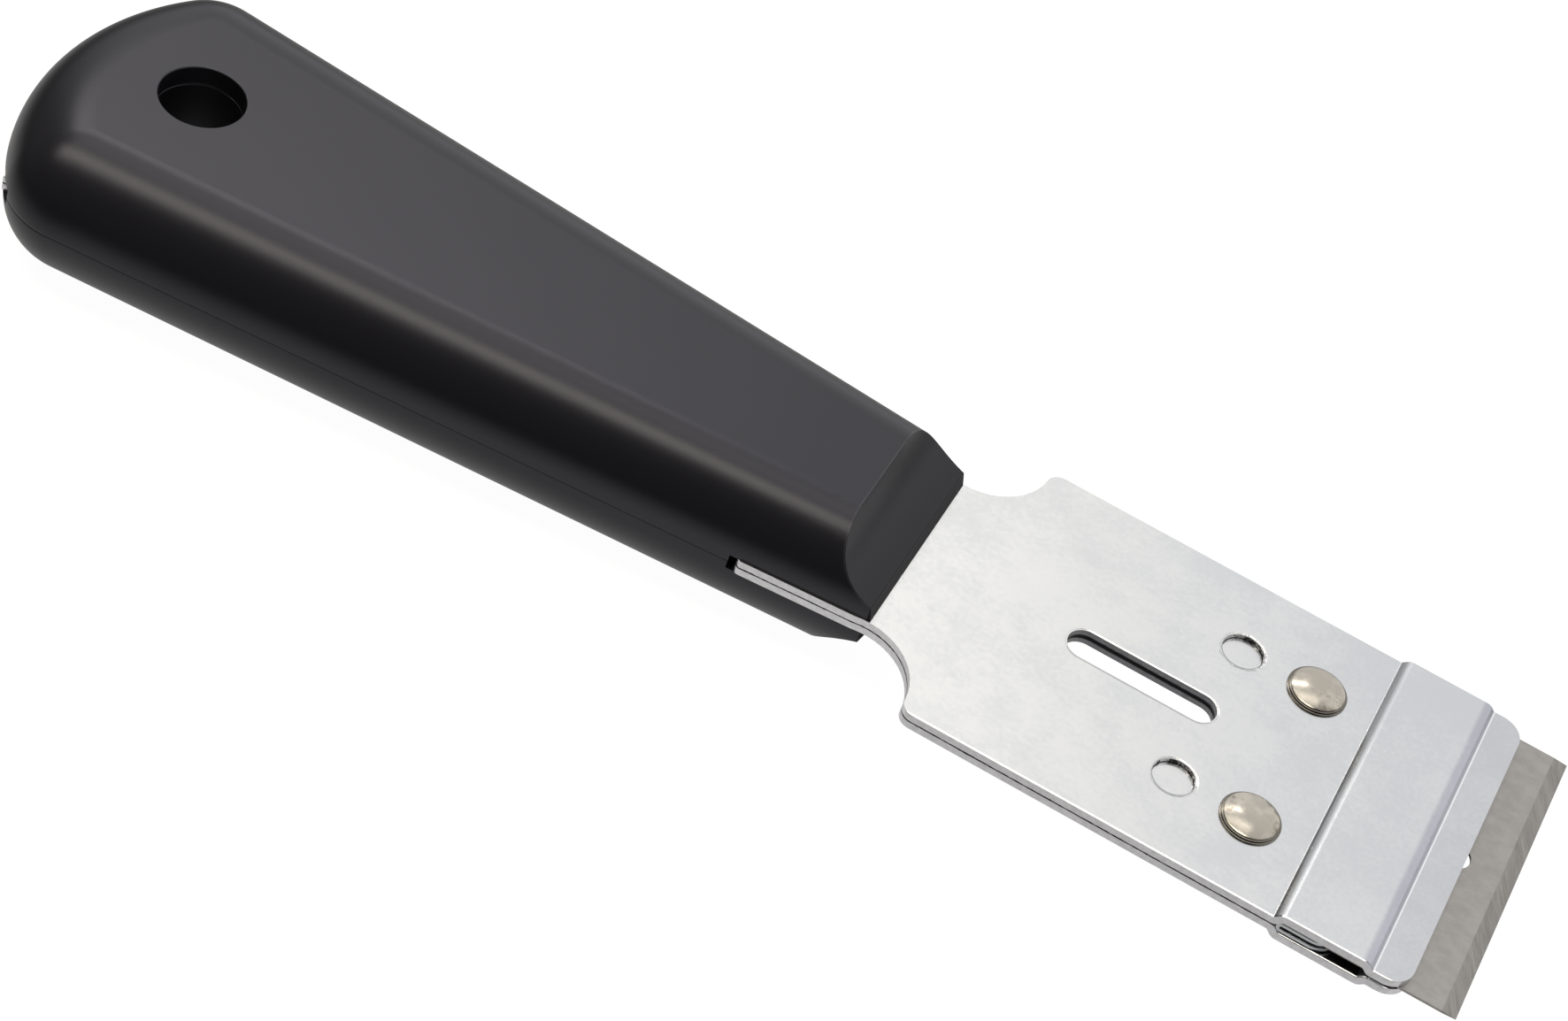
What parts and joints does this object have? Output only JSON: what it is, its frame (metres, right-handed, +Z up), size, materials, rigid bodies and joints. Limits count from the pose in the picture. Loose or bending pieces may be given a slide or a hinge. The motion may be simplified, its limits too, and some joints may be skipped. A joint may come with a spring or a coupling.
{
  "type": "window scraper",
  "caption": "Hand scraper with a moulded tapered grip, a hang hole, riveted stepped steel plates and a replaceable straight blade.",
  "frame": {"origin": "centre of the bounding box in X and Y, on the flat underside of the grip", "axes": "+X along the tool towards the cutting edge, +Y across it to the left, +Z up from the flat underside of the grip"},
  "size_m": [0.1768, 0.0416, 0.0178],
  "materials": {
    "grip_plastic": "satin black moulded plastic",
    "plate_steel": "bright plated sheet steel",
    "rivet_metal": "nickel-plated, slightly worn",
    "leaf_steel": "bright spring steel",
    "blade_steel": "fine ground carbon steel"
  },
  "bodies": {
    "holder": {"grip_upper": "grip_plastic", "grip_lower": "grip_plastic", "plate_upper": "plate_steel", "plate_lower": "plate_steel", "rivet_left": "rivet_metal", "rivet_right": "rivet_metal", "spring_leaf": "leaf_steel"},
    "blade": {"blade": "blade_steel"}
  },
  "joints": [
    {"name": "blade_slide", "type": "slide", "parent": "holder", "child": "blade", "axis": [1, 0, 0], "range_m": [0, 0.014]}
  ]
}
